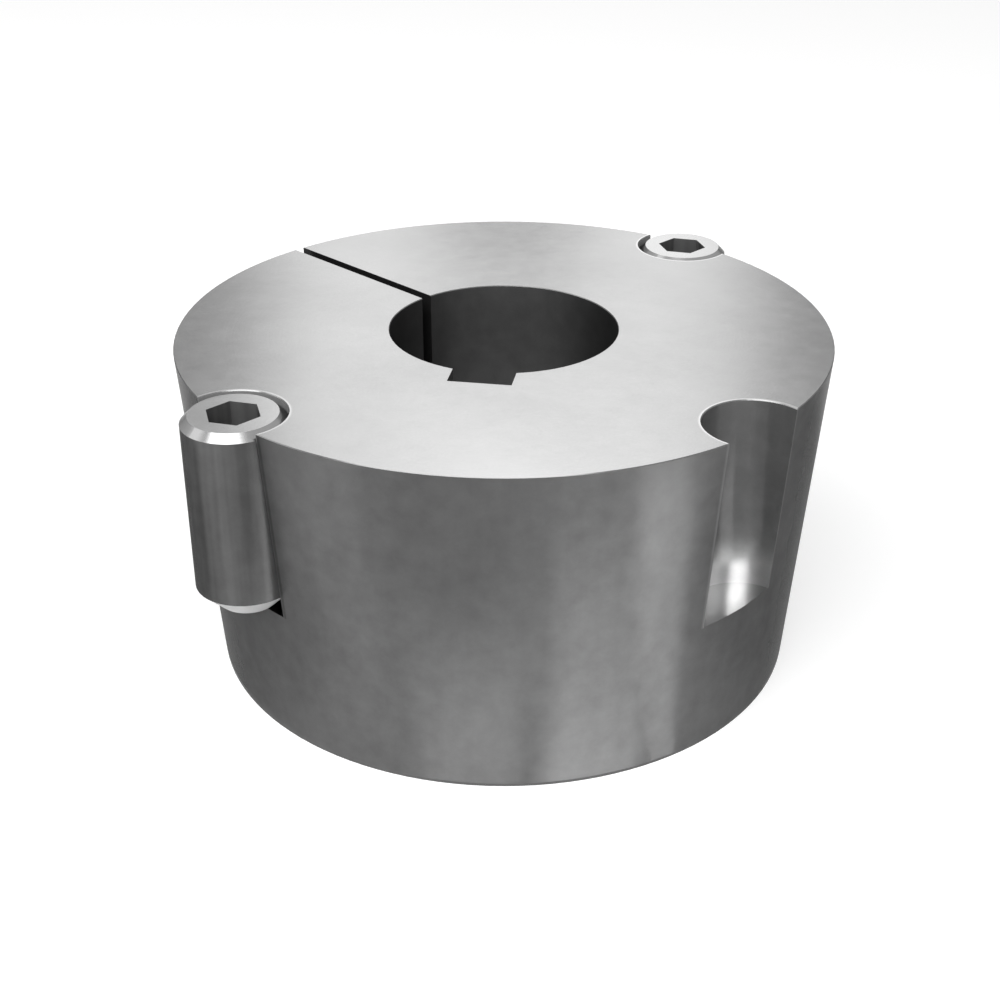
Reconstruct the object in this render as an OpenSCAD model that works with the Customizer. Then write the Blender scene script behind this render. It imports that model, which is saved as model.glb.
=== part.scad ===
// Split taper bush with a keyed bore, clamped by two socket set screws in half-round pockets.
// It stands on its small end. The origin is on the bore axis in that face, +Z runs towards the
// large end face, and the keyway lies along -Y.

/* [Taper body] */
// Diameter of the large end face
large_d = 85.5; // [80:0.5:100]
// Height from the small end face to the large one
body_len = 44.45; // [32:0.05:60]
// Included angle of the conical outside
taper_angle = 8; // [4:0.5:12]
// Size of the 45 degree break on every turned edge
edge_break = 0.1; // [0.05:0.05:0.5]

/* [Bore and keyway] */
// Diameter of the shaft bore
bore_d = 30; // [24:0.5:42]
// Width of the keyway
key_w = 8; // [6:0.5:12]
// Depth of the keyway, from the crown of the bore to its floor
key_depth = 3.3; // [2:0.1:5]

/* [Slit] */
// Width of the saw cut that lets the bush close on the shaft
slit_w = 1.5; // [1:0.1:3]

/* [Screw pockets] */
// Azimuth of the removal pocket, which lies opposite the slit
removal_az = -35.5; // [-60:0.5:-20]
// Angle from the removal pocket to the clamping pocket on either side of it
pocket_spread = 95; // [80:1:120]
// Distance of a pocket's axis inside the rim of the large end face
pocket_inset = 1.475; // [0.5:0.005:3]
// Radial clearance between a set screw and its pocket
screw_clear = 0.1; // [0.05:0.05:0.4]

/* [Set screws] */
// Diameter of a set screw over its shank
screw_d = 12.7; // [10:0.1:16]
// Length of a set screw, which is also the depth of its pocket
screw_len = 25.4; // [20:0.1:28]
// Size of the 45 degree chamfer at the driven end
head_chamfer = 0.95; // [0.3:0.05:1.5]
// Size of the 45 degree chamfer at the point
point_chamfer = 2.8; // [0.5:0.1:3.5]
// Width across the flats of the hexagon socket
socket_af = 6; // [4:0.5:8]
// Depth of the socket's flats
socket_depth = 7; // [4:0.5:12]
// Included angle of the drilled cone below the socket
drill_angle = 118; // [90:1:140]

/* [Hidden] */
$fn = 128;

// How far a cutter runs past the face it opens
overrun = 1;
hexagon_sides = 6;

large_r = large_d / 2;
bore_r = bore_d / 2;
screw_r = screw_d / 2;
pocket_r = screw_r + screw_clear;
// The mouth of a pocket is broken a little wider than the turned edges
mouth_break = 1.25 * edge_break;
pocket_pitch_r = large_r - pocket_inset;
pocket_floor_z = body_len - screw_len;
slit_az = removal_az + 180;
front_az = removal_az - pocket_spread;
rear_az = removal_az + pocket_spread;

// Radius of the conical outside at height z
function cone_r(z) = large_r - (body_len - z) * tan(taper_angle / 2);

// Radial section of the body, with both ends of the bore and of the cone broken
module body_section() {
    polygon([
        [bore_r + edge_break, 0],
        [cone_r(0) - edge_break, 0],
        [cone_r(edge_break), edge_break],
        [cone_r(body_len - edge_break), body_len - edge_break],
        [large_r - edge_break, body_len],
        [bore_r + edge_break, body_len],
        [bore_r, body_len - edge_break],
        [bore_r, edge_break]
    ]);
}

module keyway() {
    floor_y = bore_r + key_depth;
    translate([-key_w / 2, -floor_y, -overrun])
        cube([key_w, floor_y, body_len + 2 * overrun]);
}

module slit() {
    rotate([0, 0, slit_az])
        translate([0, -slit_w / 2, -overrun])
            cube([large_d, slit_w, body_len + 2 * overrun]);
}

// Puts children on the floor of the pocket at azimuth az
module at_pocket(az) {
    rotate([0, 0, az])
        translate([pocket_pitch_r, 0, pocket_floor_z])
            children();
}

// Half section of a pocket's cutter, flared at the large end face to break the mouth's edge
module pocket_section() {
    polygon([
        [0, 0],
        [pocket_r, 0],
        [pocket_r, screw_len - mouth_break],
        [pocket_r + mouth_break + overrun, screw_len + overrun],
        [0, screw_len + overrun]
    ]);
}

// Half-round pocket, open to the side and to the large end face
module pocket(az) {
    at_pocket(az)
        rotate_extrude()
            pocket_section();
}

module taper_bush() {
    color([0.66, 0.66, 0.67])
        difference() {
            rotate_extrude()
                body_section();
            keyway();
            slit();
            for (az = [removal_az, front_az, rear_az])
                pocket(az);
        }
}

// Hexagon socket above the cone of the drill that opened it
module socket() {
    cone_h = socket_af / 2 / tan(drill_angle / 2);
    translate([0, 0, screw_len - socket_depth])
        cylinder(d = socket_af / cos(180 / hexagon_sides), h = socket_depth + overrun, $fn = hexagon_sides);
    translate([0, 0, screw_len - socket_depth - cone_h])
        cylinder(d1 = 0, d2 = socket_af, h = cone_h);
}

// Half section of a set screw that stands on its point
module screw_section() {
    polygon([
        [0, 0],
        [screw_r - point_chamfer, 0],
        [screw_r, point_chamfer],
        [screw_r, screw_len - head_chamfer],
        [screw_r - head_chamfer, screw_len],
        [0, screw_len]
    ]);
}

// Both screws stop with two flats of the socket square to the slit's line
module set_screw(az) {
    color([0.72, 0.72, 0.73])
        at_pocket(az)
            rotate([0, 0, slit_az - az + 90])
                difference() {
                    rotate_extrude()
                        screw_section();
                    socket();
                }
}

module set_screw_front() {
    set_screw(front_az);
}

module set_screw_rear() {
    set_screw(rear_az);
}

taper_bush();
set_screw_front();
set_screw_rear();
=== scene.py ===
# Split taper bush with two set screws: finishes, studio and camera. All lengths are in metres.
import math

import bpy
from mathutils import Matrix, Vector


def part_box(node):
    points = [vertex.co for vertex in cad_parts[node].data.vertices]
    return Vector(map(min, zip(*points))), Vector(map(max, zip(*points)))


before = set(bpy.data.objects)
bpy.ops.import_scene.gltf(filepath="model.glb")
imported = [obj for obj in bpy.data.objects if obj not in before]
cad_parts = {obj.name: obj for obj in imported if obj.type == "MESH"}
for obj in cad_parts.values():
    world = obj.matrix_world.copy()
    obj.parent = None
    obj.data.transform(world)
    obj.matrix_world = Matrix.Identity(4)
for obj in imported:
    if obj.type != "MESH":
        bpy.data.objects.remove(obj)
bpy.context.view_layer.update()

MM = 0.001
BUSH_MIDDLE = Vector((0, 0, 0.022))
BUSH_AXIS = Vector((0, 0, 0))

# The photograph's view: a camera to the front, a little right of the keyway
VIEW_AZIMUTH = 9.4
CAMERA_REACH = 0.19454
CAMERA_HEIGHT = 0.12409
SIGHT_OFFSET = -0.0005
SIGHT_HEIGHT = 0.01853
CAMERA_LENS = 57.3
CAMERA_SENSOR = 36
CAMERA_NEAR = 0.005

# Greys of the steel, as linear values: flat faces, chamfers, flanks, hollows and screw pockets. The faces
# keep the steel's own grey; the chamfers, flanks, hollows and pockets are set much darker, which is
# painted shade that follows which way they face.
BUSH_GREYS = (0.56, 0.17, 0.142, 0.118, 0.12)
SCREW_GREYS = (0.66, 0.30, 0.110, 0.100, 0.110)
# Grey of the slopes that face down, such as a screw's point: set high as a painted reflection of light
# from below
POINT_GREY = 0.85
# Share of full white that the steel reflects at a grazing angle
GRAZE = 0.5

# Upright part of the normal, from where a surface starts to count to where it counts in full:
# as a slope, as a level face, and as a floor
SLOPE_RISE = (0.25, 0.5)
FACE_RISE = (0.8, 0.95)
FLOOR_RISE = (0.5, 0.8)

# Hollows of the bush and of a screw lie this near to the axis, and their floors below this height
BORE_REACH = 0.0190
SOCKET_REACH = 0.0037
HOLLOW_EDGE = 0.2 * MM
HOLLOW_TOP = 0.044
# The bore's painted light is brightest along a line at this x, and painted shade dims it to both sides of
# it
BORE_LINE = -2 * MM
BORE_SIDES = (4 * MM, 15.5 * MM)
BORE_DIMMED = 0.3
# Painted light makes the bore brighter further down, from the first height to the second
BORE_HEIGHTS = (42 * MM, 22 * MM)
BORE_RAISED = 1.7

# Axes of the three screw pockets, seen from above, and their radius
POCKET_PITCH = 0.041275
REMOVAL_AZIMUTH = -35.5
SCREW_AZIMUTHS = (-130.5, 59.5)
POCKET_RADIUS = 0.00645
POCKET_FLOOR = 0.01905
# How near to a pocket's wall a surface lies that belongs to it, and how near one inside it
WALL_GAP = (0.08 * MM, 0.04 * MM)
INSIDE_GAP = (0.10 * MM, 0.05 * MM)
# From here on outwards a surface lies beside the pocket, and no longer in it
BESIDE_GAP = (0.03 * MM, 0.08 * MM)
# The wall of a pocket is more like a mirror down to its floor, and is given a brighter grey there as a
# painted sheen
FOOT_HEIGHTS = (POCKET_FLOOR + 7.5 * MM, POCKET_FLOOR + 2 * MM)
FOOT_SHEEN_GREY = 0.28
# Edges beside a pocket get a painted highlight, and flanks beside a screw get painted shade
RIM_HIGHLIGHT_GAP = (0.50 * MM, 0.15 * MM)
RIM_HIGHLIGHT_SHARE = 0.45
BESIDE_SHADE_GAP = (0.7 * MM, 0.2 * MM)
BESIDE_SHADE_SHARE = -0.65
# Grey of a pocket's wall round a screw's head, between these heights and above
MOUTH_HEIGHTS = (43.0 * MM, 43.6 * MM)
MOUTH_GREY = 0.32
# Grey of a pocket's floor and low wall round a screw's point: painted shade in the recess under the screw
TAKEN_HEIGHTS = (POCKET_FLOOR + 4 * MM, POCKET_FLOOR + MM)
TAKEN_SHADE_GREY = 0.04

# The slit's line, seen from above, half its width, and the near-black grey of its walls, painted shade
# for the deep narrow slit
SLIT_AZIMUTH = 144.5
SLIT_HALF = 0.00075
SLIT_GAP = (SLIT_HALF + 0.08 * MM, SLIT_HALF + 0.03 * MM)
SLIT_SHADE_GREY = 0.03

# Clouds in the steel: sizes, then their shares on flanks and on slopes and faces
CLOUD_SIZE = 2.4 * MM
CLOUD_SHARES = (0.38, 0.12)
MIST_SIZE = 14 * MM
MIST_SHARES = (0.18, 0.14)
GRAIN_SIZE = 0.35 * MM
GRAIN_SHARE = 0.08
# Upright streaks on the flanks, drawn out by flattening their height
STREAK_SIZE = 2.0 * MM
STREAK_FLATTENING = 0.04
BUSH_STREAKS = 0.14
SCREW_STREAKS = 1.5
# Tool marks, and the bump that shows them
GROOVE_SIZE = 0.25 * MM
BUMP_STRENGTH = 0.2
BUMP_DEPTH = 0.01 * MM

# Share of metal in each finish
FLANK_METAL = 0.55
BORE_METAL = 0.45
SOCKET_METAL = 0.15
POCKET_METAL = 0.3
FOOT_METAL = 0.6
POINT_METAL = 0.2
# Roughness of each finish, and how much the clouds change it
FLANK_ROUGHNESS = 0.24
HOLLOW_ROUGHNESS = 0.35
POCKET_ROUGHNESS = 0.17
FOOT_ROUGHNESS = 0.25
SLOPE_ROUGHNESS = 0.20
CLOUD_ROUGHNESS = 0.08

# Floor and world
FLOOR_SIZE = 8.0
FLOOR_GREY = 0.8
FLOOR_GLOW = 0.45
AMBIENT = 0.45

# Soft boxes: azimuth, reach, height, then width, tallness and radiance of the lit face
KEY_BOX = (-17, 0.40, 0.55, 0.76, 0.35, 4.2)
KEY_GLEAM = (-17, 0.34, 0.61, 0.76, 0.20, 4.2)
LEFT_BOX = (-95, 0.45, 0.45, 0.25, 0.35, 1.2)

# Cards: azimuth, reach, height, width and tallness
BACK_HEIGHT = 0.33
BACK_CARD = (180, 0.60, BACK_HEIGHT, 1.0, 0.5)
FRONT_CARD = (0, 0.60, 0.27, 1.6, 0.5)
# Back card: its level, then a field, a bar, a crown and two flares that are added to it.
# Sides are distances from its middle line, and heights are above the floor.
BACK_LEVEL = 0.55
BACK_SHIFT = -0.003
FIELD_SIDES = (0.165, 0.105)
FIELD_GAIN = 0.90
BAR_SIDES = (0.040, 0.012)
BAR_GAIN = -0.5
LOW_HEIGHTS = (0.305, 0.245)
CROWN_SIDES = (0.10, 0.03)
CROWN_HEIGHTS = (0.35, 0.41)
CROWN_GAIN = 0.4
FLARE_PLACE = 0.078
FLARE_SIDES = (0.045, 0.010)
FLARE_GAIN = 0.4
# Front card: its level, and what is added from above its middle to below it
FRONT_LEVEL = 1.05
FRONT_FADE = (0.08, -0.08)
FRONT_GAIN = 0.7

# Wedges of light: azimuth, start, splay, length, then widths and levels at both ends, and softness
WEDGE_HEIGHT = 0.5 * MM
WEDGE_END = 0.85
WEDGES = (
    ("left_wedge", -4.3, 0.0337, -6.5, 0.056, (0.0085, 0.048), (1.15, 0.0), 0.6),
    ("middle_wedge", 10.8, 0.0340, 24.2, 0.064, (0.0080, 0.038), (2.3, 0.0), 0.5),
    ("right_wedge", 21.6, 0.0349, 37.2, 0.080, (0.0046, 0.033), (1.4, 2.4), 0.12),
)
# Wedges that hang before the removal pocket and shine down, for the streak in it
GLINT_HEIGHT = 0.042
GLINTS = (
    ("glint", 33.9, 0.0553, -29.4, 0.036, (0.0135, 0.040), (23.0, 6.5), 0.2),
    ("glint_field", 41.4, 0.0581, -11.4, 0.036, (0.060, 0.120), (1.4, 0.3), 0.2),
    ("glint_side", 52.1, 0.0579, 12.9, 0.036, (0.014, 0.036), (5.0, 2.0), 0.4),
)
# Flags on the table: azimuth, reach and grey
FLAG_SIZE = 0.13
FLAG_CORE = 0.6
FLAG_HEIGHT = 0.8 * MM
FLAGS = (
    ("right_flag", 92, 0.080, 0.55),
    ("left_flag", -88, 0.075, 0.57),
    ("front_flag", -14, 0.117, 0.73),
)


def spot(azimuth, reach, height=0.0):
    """A place seen from the axis: azimuth 0 is the camera's side, and it grows to the camera's right."""
    turn = math.radians(azimuth + VIEW_AZIMUTH)
    return Vector((math.sin(turn) * reach, -math.cos(turn) * reach, height))


def axis_of(node):
    """Middle of a node's box."""
    low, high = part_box(node)
    return (low + high) / 2


def add(tree, kind, **settings):
    """A shader node with its properties set."""
    made = tree.nodes.new(kind)
    for name, value in settings.items():
        setattr(made, name, value)
    return made


def feed(tree, socket, value):
    """Links a socket to another node's output, or sets its value."""
    if isinstance(value, bpy.types.NodeSocket):
        tree.links.new(value, socket)
    else:
        socket.default_value = value


def maths(tree, operation, *values):
    """A number worked out from one, two or three."""
    made = add(tree, "ShaderNodeMath", operation=operation)
    for socket, value in zip(made.inputs, values):
        feed(tree, socket, value)
    return made.outputs[0]


def product(tree, first, *others):
    """All these numbers multiplied."""
    for other in others:
        first = maths(tree, "MULTIPLY", first, other)
    return first


def vector(tree, operation, *values):
    """A vector, or for some operations a number, worked out from one or two vectors."""
    made = add(tree, "ShaderNodeVectorMath", operation=operation)
    for socket, value in zip(made.inputs, values):
        feed(tree, socket, value)
    gives_number = operation in ("LENGTH", "DOT_PRODUCT", "DISTANCE")
    return made.outputs["Value" if gives_number else "Vector"]


def split(tree, value):
    """The three numbers of a vector."""
    made = add(tree, "ShaderNodeSeparateXYZ")
    feed(tree, made.inputs[0], value)
    return made.outputs


def ramp(tree, value, low, high, to_low=0.0, to_high=1.0):
    """Maps low..high of a value smoothly onto to_low..to_high."""
    made = add(tree, "ShaderNodeMapRange", interpolation_type="SMOOTHSTEP")
    for socket, setting in zip(made.inputs, (value, low, high, to_low, to_high)):
        feed(tree, socket, setting)
    return made.outputs["Result"]


def blend(tree, factor, low, high):
    """Number between low and high."""
    made = add(tree, "ShaderNodeMix", data_type="FLOAT")
    feed(tree, made.inputs[0], factor)
    feed(tree, made.inputs[2], low)
    feed(tree, made.inputs[3], high)
    return made.outputs["Result"]


def noise(tree, place, size, detail=2.0, roughness=0.5):
    """Soft noise round 0, from about -0.5 to 0.5, with clouds of about this size."""
    made = add(tree, "ShaderNodeTexNoise")
    feed(tree, made.inputs["Vector"], place)
    feed(tree, made.inputs["Scale"], 1 / size)
    feed(tree, made.inputs["Detail"], detail)
    feed(tree, made.inputs["Roughness"], roughness)
    return maths(tree, "SUBTRACT", made.outputs["Fac"], 0.5)


def added(tree, total, value, share):
    """total plus a share of value."""
    return maths(tree, "MULTIPLY_ADD", value, share, total)


def pocket_gap(tree, place, azimuths):
    """Distance from the nearest of these pockets' round walls, seen from above."""
    flat = vector(tree, "MULTIPLY", place, (1.0, 1.0, 0.0))
    nearest = None
    for azimuth in azimuths:
        turn = math.radians(azimuth)
        axis = (math.cos(turn) * POCKET_PITCH, math.sin(turn) * POCKET_PITCH, 0.0)
        away = vector(tree, "DISTANCE", flat, axis)
        nearest = away if nearest is None else maths(tree, "MINIMUM", nearest, away)
    return maths(tree, "SUBTRACT", nearest, POCKET_RADIUS)


def slit_mask(tree, place):
    """1 on the two walls of the slit."""
    turn = math.radians(SLIT_AZIMUTH)
    along = vector(tree, "DOT_PRODUCT", place, (math.cos(turn), math.sin(turn), 0.0))
    across = vector(tree, "DOT_PRODUCT", place, (-math.sin(turn), math.cos(turn), 0.0))
    near = ramp(tree, maths(tree, "ABSOLUTE", across), *SLIT_GAP)
    return product(tree, near, ramp(tree, along, 0.0, MM))


def bore_shade(tree, sides, grey):
    """Grey of a hollow with painted shade and light: duller towards two of its sides and brighter further
    down.
    """
    aside = maths(tree, "ABSOLUTE", maths(tree, "SUBTRACT", sides["X"], BORE_LINE))
    dull = ramp(tree, aside, *BORE_SIDES, 1.0, BORE_DIMMED)
    lower = ramp(tree, sides["Z"], *BORE_HEIGHTS, 1.0, BORE_RAISED)
    return product(tree, dull, lower, grey)


def steel(name, axis, greys, hollow_reach, hollow_metal, streaks):
    """Machined steel round an upright axis: bright faces, dark flanks and faint tool marks. The flanks,
    chamfers and hollows are darkened with painted shade by which way they face, and the pockets and slit
    carry painted highlights and shade.
    """
    face_grey, shaded_chamfer_grey, shaded_flank_grey, hollow_grey, pocket_grey = greys
    mat = bpy.data.materials.new(name)
    mat.use_nodes = True
    tree = mat.node_tree
    tree.nodes.clear()
    out = add(tree, "ShaderNodeOutputMaterial")
    shader = add(tree, "ShaderNodeBsdfPrincipled")
    tree.links.new(shader.outputs[0], out.inputs["Surface"])

    place = add(tree, "ShaderNodeTexCoord").outputs["Object"]
    local = vector(tree, "SUBTRACT", place, (axis.x, axis.y, 0.0))
    sides = split(tree, local)
    height = sides["Z"]
    radius = vector(tree, "LENGTH", vector(tree, "MULTIPLY", local, (1.0, 1.0, 0.0)))
    normal = add(tree, "ShaderNodeNewGeometry").outputs["True Normal"]
    rise = split(tree, normal)["Z"]
    upright = maths(tree, "ABSOLUTE", rise)

    # Where each finish lies, and with it the painted shade that darkens the steel by which way it faces
    sloped = ramp(tree, upright, *SLOPE_RISE)
    steep = maths(tree, "SUBTRACT", 1.0, sloped)
    under = ramp(tree, maths(tree, "MULTIPLY", rise, -1.0), *SLOPE_RISE)
    faced = ramp(tree, upright, *FACE_RISE)
    hollow = ramp(tree, radius, hollow_reach, hollow_reach - HOLLOW_EDGE)
    hollow_floor = product(tree, hollow, ramp(tree, height, HOLLOW_TOP, HOLLOW_TOP - MM), sloped)
    slit = slit_mask(tree, place)

    # The pockets, and what lies beside them: the free one and the two with a screw
    free_gap = pocket_gap(tree, place, (REMOVAL_AZIMUTH,))
    taken_gap = pocket_gap(tree, place, SCREW_AZIMUTHS)
    gap = maths(tree, "MINIMUM", free_gap, taken_gap)
    raised = ramp(tree, height, POCKET_FLOOR - 0.2 * MM, POCKET_FLOOR)
    pocket = product(tree, raised, ramp(tree, maths(tree, "ABSOLUTE", gap), *WALL_GAP))
    foot = ramp(tree, height, *FOOT_HEIGHTS)
    # Painted highlight along the pocket rims
    rim_highlight = product(tree, ramp(tree, gap, *RIM_HIGHLIGHT_GAP), ramp(tree, gap, *BESIDE_GAP), raised)
    # Painted shade on the flank beside each screw
    beside_shade = product(tree, ramp(tree, taken_gap, *BESIDE_SHADE_GAP), ramp(tree, taken_gap, *BESIDE_GAP))
    beside_shade = product(tree, beside_shade, raised, steep)
    inside = ramp(tree, taken_gap, *INSIDE_GAP)
    mouth = product(tree, pocket, inside, ramp(tree, height, *MOUTH_HEIGHTS))
    walled = maths(tree, "MAXIMUM", pocket, ramp(tree, rise, *FLOOR_RISE))
    taken = product(tree, inside, ramp(tree, height, *TAKEN_HEIGHTS), walled, raised)

    # Painted shade and light across the hollows
    hollow_grey = bore_shade(tree, sides, hollow_grey)
    # Painted shade: flanks, hollows, pockets and slopes take greys darker than the faces
    grey = blend(tree, hollow, shaded_flank_grey, hollow_grey)
    # Painted shade on the slit's walls
    grey = blend(tree, slit, grey, SLIT_SHADE_GREY)
    # Pocket walls: a darker grey as painted shade, and a brighter one at the foot as a painted sheen
    grey = blend(tree, pocket, grey, blend(tree, foot, pocket_grey, FOOT_SHEEN_GREY))
    grey = blend(tree, mouth, grey, MOUTH_GREY)
    # Slopes take a darker grey as painted shade, and those that face down a bright one as a painted
    # reflection
    grey = blend(tree, sloped, grey, blend(tree, under, shaded_chamfer_grey, POINT_GREY))
    grey = blend(tree, faced, grey, face_grey)
    # Floors inside the hollows take the hollow's darker grey instead of the face grey: painted shade in
    # the recess
    grey = blend(tree, hollow_floor, grey, hollow_grey)
    # Painted shade low in the pockets that hold a screw
    grey = blend(tree, taken, grey, TAKEN_SHADE_GREY)

    # Clouds are faint on slopes and faces and a little stronger on the flanks, which alone have streaks
    clouds = noise(tree, place, CLOUD_SIZE, 3.0, 0.55)
    mist = noise(tree, place, MIST_SIZE, 1.0)
    grain = noise(tree, place, GRAIN_SIZE)
    drawn_out = vector(tree, "MULTIPLY", local, (1.0, 1.0, STREAK_FLATTENING))
    columns = noise(tree, drawn_out, STREAK_SIZE)
    shade = added(tree, 1.0, clouds, blend(tree, sloped, *CLOUD_SHARES))
    shade = added(tree, shade, mist, blend(tree, sloped, *MIST_SHARES))
    shade = added(tree, shade, grain, GRAIN_SHARE)
    shade = added(tree, shade, columns, blend(tree, sloped, streaks, 0.0))
    shade = added(tree, shade, rim_highlight, RIM_HIGHLIGHT_SHARE)
    shade = added(tree, shade, beside_shade, BESIDE_SHADE_SHARE)
    level = product(tree, grey, shade)
    colour = add(tree, "ShaderNodeCombineColor")
    for channel in colour.inputs:
        feed(tree, channel, level)
    feed(tree, shader.inputs["Base Color"], colour.outputs[0])

    metal = blend(tree, hollow, FLANK_METAL, hollow_metal)
    metal = blend(tree, pocket, metal, blend(tree, foot, POCKET_METAL, FOOT_METAL))
    metal = blend(tree, sloped, metal, blend(tree, under, 1.0, POINT_METAL))
    feed(tree, shader.inputs["Metallic"], metal)
    rough = blend(tree, hollow, FLANK_ROUGHNESS, HOLLOW_ROUGHNESS)
    rough = blend(tree, pocket, rough, blend(tree, foot, POCKET_ROUGHNESS, FOOT_ROUGHNESS))
    rough = blend(tree, sloped, rough, SLOPE_ROUGHNESS)
    feed(tree, shader.inputs["Roughness"], added(tree, rough, clouds, CLOUD_ROUGHNESS))
    shader.inputs["Specular Tint"].default_value = (GRAZE, GRAZE, GRAZE, 1)
    shader.inputs["Specular IOR Level"].default_value = 0.0

    # Fine grooves of the tool: rings on the faces, rounds up the flanks
    course = add(tree, "ShaderNodeCombineXYZ")
    feed(tree, course.inputs[0], blend(tree, sloped, height, radius))
    grooves = noise(tree, course.outputs[0], GROOVE_SIZE)
    bump = add(tree, "ShaderNodeBump")
    bump.inputs["Strength"].default_value = BUMP_STRENGTH
    bump.inputs["Distance"].default_value = BUMP_DEPTH
    feed(tree, bump.inputs["Height"], maths(tree, "ADD", grooves, grain))
    feed(tree, shader.inputs["Normal"], bump.outputs[0])
    return mat


def dress(node, mat):
    """Gives a CAD node its material."""
    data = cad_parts[node].data
    data.materials.clear()
    data.materials.append(mat)


def shown_white(tree):
    """1 for the rays of the camera, gloss and glass, which see plain white, and 0 for the others."""
    path = add(tree, "ShaderNodeLightPath")
    seen = maths(tree, "MAXIMUM", path.outputs["Is Camera Ray"], path.outputs["Is Glossy Ray"])
    return maths(tree, "MAXIMUM", seen, path.outputs["Is Transmission Ray"])


def make_world():
    """Plain white to look at, and plain soft light."""
    world = bpy.data.worlds.new("studio")
    bpy.context.scene.world = world
    world.use_nodes = True
    tree = world.node_tree
    tree.nodes.clear()
    out = add(tree, "ShaderNodeOutputWorld")
    light = add(tree, "ShaderNodeBackground")
    feed(tree, light.inputs["Strength"], blend(tree, shown_white(tree), AMBIENT, 1.0))
    tree.links.new(light.outputs[0], out.inputs["Surface"])
    light.inputs["Color"].default_value = (1, 1, 1, 1)


def make_floor():
    """A pale floor that keeps the object's shadow."""
    half = FLOOR_SIZE / 2
    mesh = bpy.data.meshes.new("floor")
    corners = [(-half, -half, 0), (half, -half, 0), (half, half, 0), (-half, half, 0)]
    mesh.from_pydata(corners, [], [(0, 1, 2, 3)])
    floor = bpy.data.objects.new("floor", mesh)
    bpy.context.scene.collection.objects.link(floor)

    mat = bpy.data.materials.new("floor_white")
    mat.use_nodes = True
    tree = mat.node_tree
    tree.nodes.clear()
    out = add(tree, "ShaderNodeOutputMaterial")
    matt = add(tree, "ShaderNodeBsdfDiffuse")
    matt.inputs["Color"].default_value = (FLOOR_GREY, FLOOR_GREY, FLOOR_GREY, 1)
    glow = add(tree, "ShaderNodeEmission")
    feed(tree, glow.inputs["Strength"], product(tree, shown_white(tree), FLOOR_GLOW))
    both = add(tree, "ShaderNodeAddShader")
    tree.links.new(matt.outputs[0], both.inputs[0])
    tree.links.new(glow.outputs[0], both.inputs[1])
    tree.links.new(both.outputs[0], out.inputs["Surface"])
    mesh.materials.append(mat)


def make_box(name, azimuth, reach, height, width, tall, radiance):
    """A soft box at a place round the object, turned to it."""
    light = bpy.data.lights.new(name, "AREA")
    light.shape = "RECTANGLE"
    light.size = width
    light.size_y = tall
    light.energy = math.pi * width * tall * radiance
    lamp = bpy.data.objects.new(name, light)
    lamp.location = spot(azimuth, reach, height)
    lamp.rotation_euler = (lamp.location - BUSH_MIDDLE).to_track_quat("Z", "Y").to_euler()
    lamp.visible_camera = False
    bpy.context.scene.collection.objects.link(lamp)
    return lamp


def make_sheet(name, corners, glow, clear=False, cover=None):
    """A glowing sheet that only gloss sees. glow gives its strength from its own x and y. A clear
    sheet adds its light to what is behind it, and one with a cover hides it with that grey instead."""
    mesh = bpy.data.meshes.new(name)
    mesh.from_pydata([(x, y, 0) for x, y in corners], [], [(0, 1, 2, 3)])
    mat = bpy.data.materials.new(name)
    mat.use_nodes = True
    tree = mat.node_tree
    tree.nodes.clear()
    out = add(tree, "ShaderNodeOutputMaterial")
    place = split(tree, add(tree, "ShaderNodeTexCoord").outputs["Object"])
    light = add(tree, "ShaderNodeEmission")
    share = glow(tree, place["X"], place["Y"])
    feed(tree, light.inputs["Strength"], share if cover is None else cover)
    shown = light.outputs[0]
    if clear:
        both = add(tree, "ShaderNodeAddShader")
        tree.links.new(shown, both.inputs[0])
        tree.links.new(add(tree, "ShaderNodeBsdfTransparent").outputs[0], both.inputs[1])
        shown = both.outputs[0]
    if cover is not None:
        both = add(tree, "ShaderNodeMixShader")
        feed(tree, both.inputs[0], share)
        tree.links.new(add(tree, "ShaderNodeBsdfTransparent").outputs[0], both.inputs[1])
        tree.links.new(shown, both.inputs[2])
        shown = both.outputs[0]
    tree.links.new(shown, out.inputs["Surface"])
    mesh.materials.append(mat)
    sheet = bpy.data.objects.new(name, mesh)
    sheet.visible_camera = False
    sheet.visible_diffuse = False
    sheet.visible_shadow = False
    bpy.context.scene.collection.objects.link(sheet)
    return sheet


def make_card(name, azimuth, reach, height, width, tall, glow):
    """An upright glowing card that faces the axis; its x grows to the right for one who looks at it."""
    side, top = width / 2, tall / 2
    corners = [(-side, -top), (side, -top), (side, top), (-side, top)]
    card = make_sheet(name, corners, glow)
    card.location = spot(azimuth, reach, height)
    inward = spot(azimuth, -1.0)
    card.rotation_euler = inward.to_track_quat("Z", "Y").to_euler()


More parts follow.
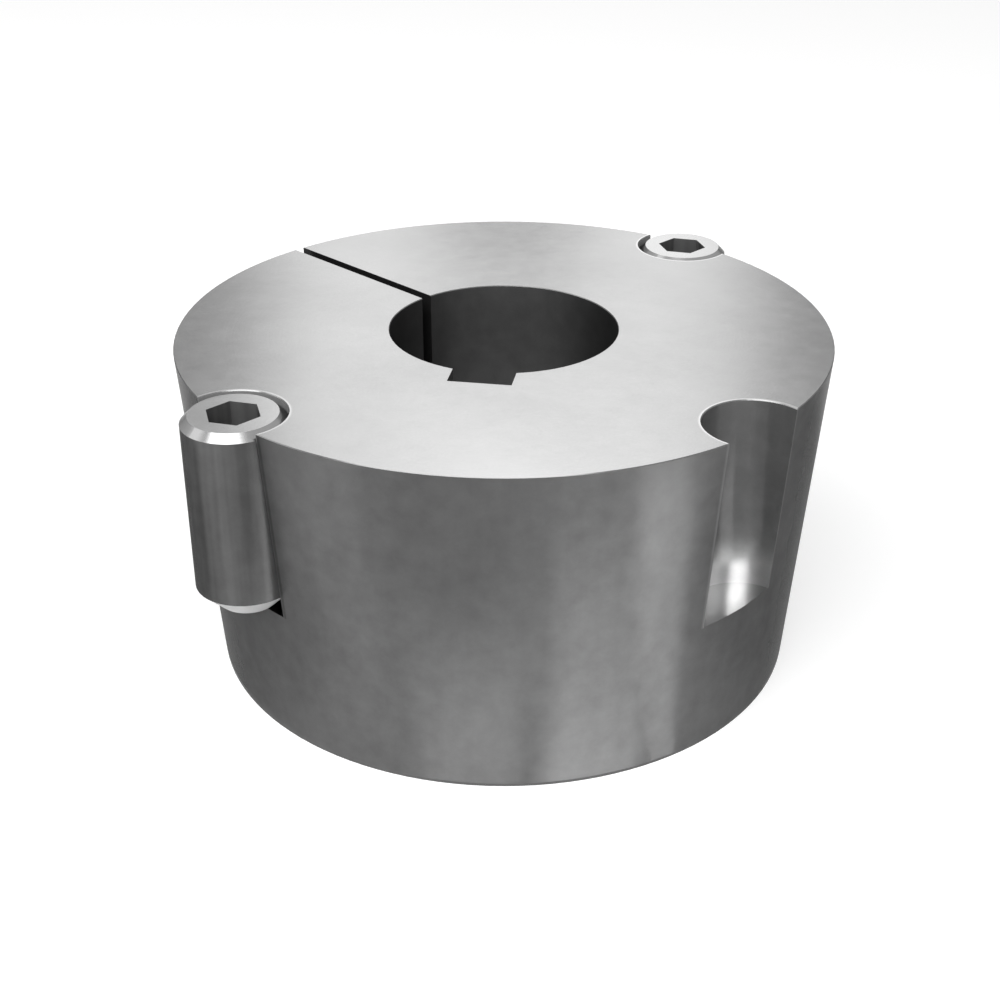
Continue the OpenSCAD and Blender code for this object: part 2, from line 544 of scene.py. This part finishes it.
def make_wedge(name, azimuth, near, splay, length, widths, levels, softness, height=WEDGE_HEIGHT):
    """A wedge of light that starts near the wall and widens outwards. It lies on the table, or it
    hangs at a height and shines only down."""
    near_side, far_side = widths[0] / 2, widths[1] / 2
    margin = 1 + softness

    def glow(tree, x, y):
        along = maths(tree, "DIVIDE", y, length)
        side = blend(tree, along, near_side, far_side)
        across = maths(tree, "DIVIDE", maths(tree, "ABSOLUTE", x), side)
        level = product(tree, ramp(tree, across, margin, 1 - softness), blend(tree, along, *levels))
        level = product(tree, level, ramp(tree, along, 1.0, WEDGE_END))
        if height > WEDGE_HEIGHT:
            level = product(tree, level, add(tree, "ShaderNodeNewGeometry").outputs["Backfacing"])
        return level

    near_edge, far_edge = near_side * margin, far_side * margin
    corners = [(-near_edge, 0), (near_edge, 0), (far_edge, length), (-far_edge, length)]
    wedge = make_sheet(name, corners, glow, clear=True)
    course = spot(azimuth + splay, 1.0)
    wedge.location = spot(azimuth, near, height)
    wedge.rotation_euler = (0, 0, math.atan2(-course.x, course.y))


def make_flag(name, azimuth, reach, grey):
    """A round grey patch with a soft edge on the table beside the bush, so that its edges don't shine."""
    side = FLAG_SIZE / 2

    def glow(tree, x, y):
        squares = maths(tree, "ADD", product(tree, x, x), product(tree, y, y))
        return ramp(tree, maths(tree, "SQRT", squares), side, side * FLAG_CORE)

    corners = [(-side, -side), (side, -side), (side, side), (-side, side)]
    flag = make_sheet(name, corners, glow, cover=grey)
    flag.location = spot(azimuth, reach, FLAG_HEIGHT)


def card_ramp(tree, y, heights):
    """Ramp between two heights above the floor on the back card."""
    low, high = heights
    return ramp(tree, y, low - BACK_HEIGHT, high - BACK_HEIGHT)


def back_glow(tree, x, y):
    """The card behind the object: a broad bright field with a dull bar low in its middle, a flare to
    each side of the bar and a crown above it."""
    side = maths(tree, "ABSOLUTE", maths(tree, "ADD", x, BACK_SHIFT))
    low = card_ramp(tree, y, LOW_HEIGHTS)
    bar = product(tree, ramp(tree, side, *BAR_SIDES), low)
    crown = product(tree, ramp(tree, side, *CROWN_SIDES), card_ramp(tree, y, CROWN_HEIGHTS))
    from_flare = maths(tree, "ABSOLUTE", maths(tree, "SUBTRACT", side, FLARE_PLACE))
    flare = product(tree, ramp(tree, from_flare, *FLARE_SIDES), low)
    level = added(tree, BACK_LEVEL, ramp(tree, side, *FIELD_SIDES), FIELD_GAIN)
    level = added(tree, level, bar, BAR_GAIN)
    level = added(tree, level, crown, CROWN_GAIN)
    return added(tree, level, flare, FLARE_GAIN)


def front_glow(tree, x, y):
    """The card in front, which keeps the faces light from behind: brighter below its middle."""
    return added(tree, FRONT_LEVEL, ramp(tree, y, *FRONT_FADE), FRONT_GAIN)


def make_lamps():
    """The boxes, and the sheets that only gloss sees."""
    make_card("back_card", *BACK_CARD, back_glow)
    make_card("front_card", *FRONT_CARD, front_glow)
    # The key's light and its reflection, which is kept small so that the faces stay grey from behind
    make_box("key_box", *KEY_BOX).visible_glossy = False
    make_box("key_gleam", *KEY_GLEAM).visible_diffuse = False
    make_box("left_box", *LEFT_BOX)
    for wedge in WEDGES:
        make_wedge(*wedge)
    for glint in GLINTS:
        make_wedge(*glint, GLINT_HEIGHT)
    for flag in FLAGS:
        make_flag(*flag)


def make_camera():
    """The photograph's camera."""
    camera = bpy.data.objects.new("camera", bpy.data.cameras.new("camera"))
    camera.data.lens = CAMERA_LENS
    camera.data.sensor_width = CAMERA_SENSOR
    camera.data.clip_start = CAMERA_NEAR
    camera.location = spot(0, CAMERA_REACH, CAMERA_HEIGHT)
    target = spot(90, SIGHT_OFFSET, SIGHT_HEIGHT)
    camera.rotation_euler = (camera.location - target).to_track_quat("Z", "Y").to_euler()
    bpy.context.scene.collection.objects.link(camera)
    bpy.context.scene.camera = camera


bush_steel = steel("bush_steel", BUSH_AXIS, BUSH_GREYS, BORE_REACH, BORE_METAL, BUSH_STREAKS)
dress("taper_bush", bush_steel)
for screw in ("set_screw_front", "set_screw_rear"):
    middle = axis_of(screw)
    screw_steel = steel(screw + "_steel", middle, SCREW_GREYS, SOCKET_REACH, SOCKET_METAL, SCREW_STREAKS)
    dress(screw, screw_steel)
make_world()
make_floor()
make_lamps()
make_camera()
bpy.context.scene.view_settings.view_transform = "Standard"
